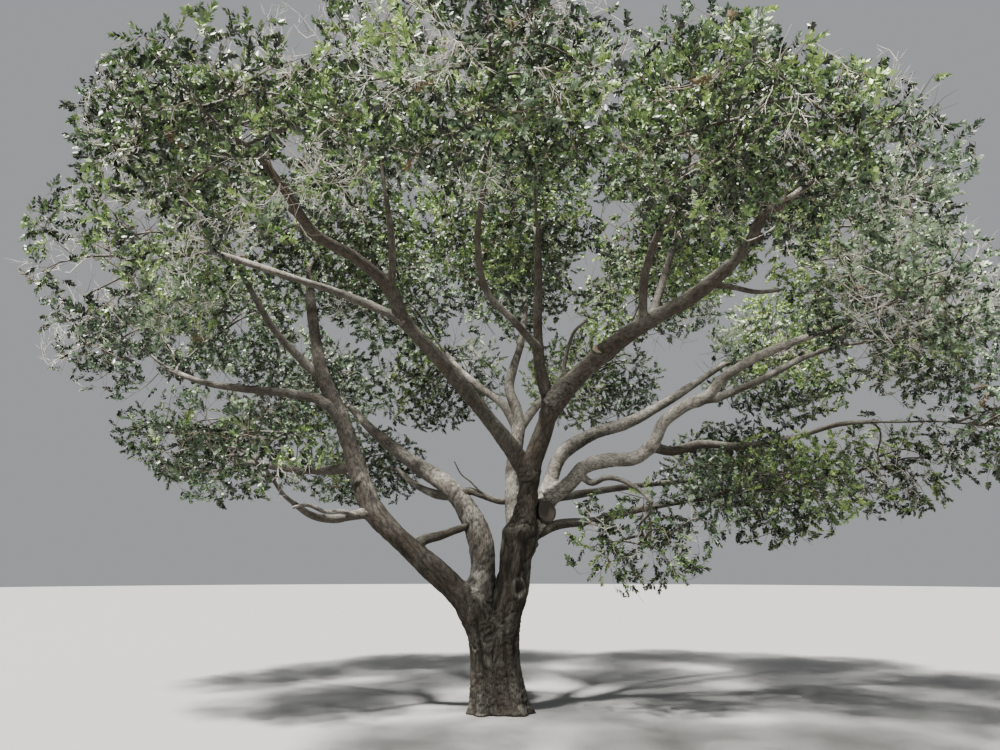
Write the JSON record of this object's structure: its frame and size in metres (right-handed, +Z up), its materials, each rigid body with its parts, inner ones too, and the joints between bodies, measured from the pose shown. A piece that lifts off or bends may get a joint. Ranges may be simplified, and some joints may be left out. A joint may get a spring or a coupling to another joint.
{
  "type": "broad evergreen oak tree",
  "caption": "Broad, low-forking evergreen oak with a fused double trunk, long rising and level boughs, and a wide open crown of small dark leaves.",
  "frame": {"origin": "middle of the flat cut under the trunk, at ground level", "axes": "+Z up, +X to the right in the reference view, +Y away from the viewer"},
  "size_m": [25.1304, 18.5686, 14.5017],
  "materials": {
    "bark": "rough furrowed bark, grey-brown, paler where the sun falls",
    "foliage": "small firm leaves, dark green and half glossy above, paler below"
  },
  "bodies": {
    "root": {"trunk": "bark", "upper_trunk": "bark", "left_bough_low": "bark", "left_bough_high": "bark", "left_side_bough": "bark", "left_long_bough": "bark", "left_rear_bough": "bark", "left_inner_bough": "bark", "middle_bough": "bark", "rear_low_bough": "bark", "front_left_bough": "bark", "front_left_side_bough": "bark", "front_left_rising_bough": "bark", "top_bough": "bark", "front_middle_bough": "bark", "right_high_bough": "bark", "right_front_bough": "bark", "right_rising_bough": "bark", "rear_stem": "bark", "rear_left_bough": "bark", "rear_right_bough": "bark", "right_rear_bough": "bark", "right_bough": "bark", "right_long_bough": "bark", "right_drooping_bough": "bark", "right_small_bough": "bark", "right_low_bough": "bark", "right_low_rear_bough": "bark", "leaves_left_tip": "foliage", "leaves_left_rear": "foliage", "leaves_left_front": "foliage", "leaves_left_upper": "foliage", "leaves_left_high": "foliage", "leaves_left_low_rear": "foliage", "leaves_left_low": "foliage", "leaves_near_left": "foliage", "leaves_front_left_top": "foliage", "leaves_near_middle": "foliage", "leaves_near_right": "foliage", "leaves_right_front": "foliage", "leaves_right_middle": "foliage", "leaves_right_front_top": "foliage", "leaves_front_top": "foliage", "leaves_top": "foliage", "leaves_top_right": "foliage", "leaves_right_upper": "foliage", "leaves_right_tip": "foliage", "leaves_right_droop": "foliage", "leaves_right_end_low": "foliage", "leaves_right_low": "foliage", "leaves_right_hanging": "foliage", "leaves_right_rear": "foliage", "leaves_right_low_rear": "foliage", "leaves_rear_right_top": "foliage", "leaves_rear_right": "foliage", "leaves_rear_top": "foliage", "leaves_rear_left_top": "foliage", "leaves_rear_left": "foliage", "leaves_far_left": "foliage", "leaves_rear_low": "foliage"}
  },
  "joints": []
}
